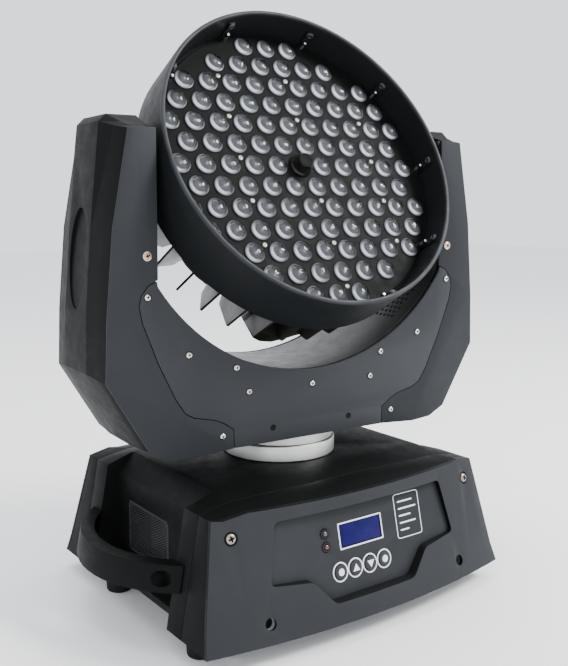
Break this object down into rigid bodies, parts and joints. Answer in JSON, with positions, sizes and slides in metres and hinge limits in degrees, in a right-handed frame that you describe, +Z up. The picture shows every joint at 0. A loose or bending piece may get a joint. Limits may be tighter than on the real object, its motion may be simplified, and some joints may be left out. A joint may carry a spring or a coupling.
{
  "type": "moving head wash light",
  "caption": "Moving head wash light: finned round lamp head with a hooded lens face in a two-arm yoke on a base with handles and a control panel.",
  "frame": {"origin": "on the floor under the feet, on the pan axis, which is the middle of the base", "axes": "+Z up along the pan axis, -Y out of the control panel, +X to the right seen from the control panel"},
  "size_m": [0.4564, 0.3336, 0.601],
  "materials": {
    "black_shell": "fine grained black moulding",
    "front_ring": "satin black ring with a paler worn front lip",
    "grey_panel": "fine textured dark grey",
    "arm_panel": "fine textured blue grey paint",
    "yoke_plate": "smooth satin grey paint",
    "inner_wall": "satin black paint",
    "vent_mesh": "black mesh",
    "frame_steel": "zinc plated",
    "face_plate": "black anodised",
    "fin_alloy": "black anodised fins",
    "lens": "clear moulded optics over bright reflectors",
    "knob": "gloss black",
    "collar_alloy": "pale machined collar",
    "pulley_alloy": "machined",
    "motor_case": "black",
    "belt": "toothed belt",
    "rubber": "matt",
    "supply_case": "plain sheet case",
    "board": "green board",
    "display": "blue backlit window",
    "lamp_clear": "clear",
    "lamp_red": "dark red",
    "button": "printed key cap",
    "screw": "nickel plated",
    "connector": "black",
    "fan": "black"
  },
  "bodies": {
    "base": {"base_shell": "black_shell", "front_cover": "black_shell", "rear_cover": "black_shell", "control_panel": "grey_panel", "rear_panel": "grey_panel", "bottom_plate": "frame_steel", "handle_right": "black_shell", "handle_left": "black_shell", "vent_right": "vent_mesh", "vent_left": "vent_mesh", "foot_front_left": "rubber", "foot_front_right": "rubber", "foot_rear_left": "rubber", "foot_rear_right": "rubber", "power_supply": "supply_case", "control_board": "board", "pan_column": "collar_alloy", "display": "display", "indicator_signal": "lamp_clear", "indicator_sound": "lamp_red", "cover_screw_left": "screw", "cover_screw_right": "screw", "signal_in": "connector", "signal_out": "connector", "power_inlet": "connector"},
    "yoke": {"arm_shell_right": "black_shell", "arm_shell_left": "black_shell", "arm_panel_front_right": "arm_panel", "arm_panel_front_left": "arm_panel", "arm_panel_rear_right": "arm_panel", "arm_panel_rear_left": "arm_panel", "yoke_plate_front": "yoke_plate", "yoke_plate_rear": "yoke_plate", "yoke_inner_wall": "inner_wall", "yoke_frame": "frame_steel", "yoke_bottom": "inner_wall", "yoke_hub": "collar_alloy", "pan_motor": "motor_case", "pan_belt": "belt", "tilt_motor": "motor_case", "tilt_belt": "belt"},
    "head": {"front_ring": "front_ring", "face_plate": "face_plate", "lens_array": "lens", "centre_knob": "knob", "heat_sink": "fin_alloy", "rear_housing": "black_shell", "axle_right": "frame_steel", "axle_left": "frame_steel", "tilt_pulley": "pulley_alloy"},
    "fan": {"fan_rotor": "fan"},
    "pan_pinion": {"pan_motor_pulley": "pulley_alloy"},
    "tilt_pinion": {"tilt_motor_pulley": "pulley_alloy"},
    "key_enter": {"button_enter": "button"},
    "key_up": {"button_up": "button"},
    "key_down": {"button_down": "button"},
    "key_menu": {"button_menu": "button"}
  },
  "joints": [
    {"name": "pan", "type": "hinge", "parent": "base", "child": "yoke", "pos_m": [0, 0, 0.165], "axis": [0, 0, 1], "range_deg": [-266.7, 273.3]},
    {"name": "tilt", "type": "hinge", "parent": "yoke", "child": "head", "pos_m": [0, 0, 0.421], "axis": [0.9984, -0.057, 0], "range_deg": [-197, 73]},
    {"name": "fan_spin", "type": "hinge", "parent": "head", "child": "fan", "pos_m": [0.00453, 0.07935, 0.37877], "axis": [0.0504, 0.8817, -0.4692], "continuous": true},
    {"name": "pan_motor_spin", "type": "hinge", "parent": "yoke", "child": "pan_pinion", "pos_m": [0.11781, -0.00673, 0.187], "axis": [0, 0, 1], "continuous": true},
    {"name": "tilt_motor_spin", "type": "hinge", "parent": "yoke", "child": "tilt_pinion", "pos_m": [-0.1867, 0.01067, 0.325], "axis": [0.9984, -0.057, 0], "continuous": true},
    {"name": "key_enter_press", "type": "slide", "parent": "base", "child": "key_enter", "axis": [0, 0.9746, -0.2241], "range_m": [0, 0.001], "stiffness_N_per_m": 600, "springref_m": -0.001},
    {"name": "key_up_press", "type": "slide", "parent": "base", "child": "key_up", "axis": [0, 0.9746, -0.2241], "range_m": [0, 0.001], "stiffness_N_per_m": 600, "springref_m": -0.001},
    {"name": "key_down_press", "type": "slide", "parent": "base", "child": "key_down", "axis": [0, 0.9746, -0.2241], "range_m": [0, 0.001], "stiffness_N_per_m": 600, "springref_m": -0.001},
    {"name": "key_menu_press", "type": "slide", "parent": "base", "child": "key_menu", "axis": [0, 0.9746, -0.2241], "range_m": [0, 0.001], "stiffness_N_per_m": 600, "springref_m": -0.001}
  ],
  "couplings": [
    {"joint": "pan_motor_spin", "follows": "pan", "ratio": -4},
    {"joint": "tilt_motor_spin", "follows": "tilt", "ratio": 3.5556}
  ]
}
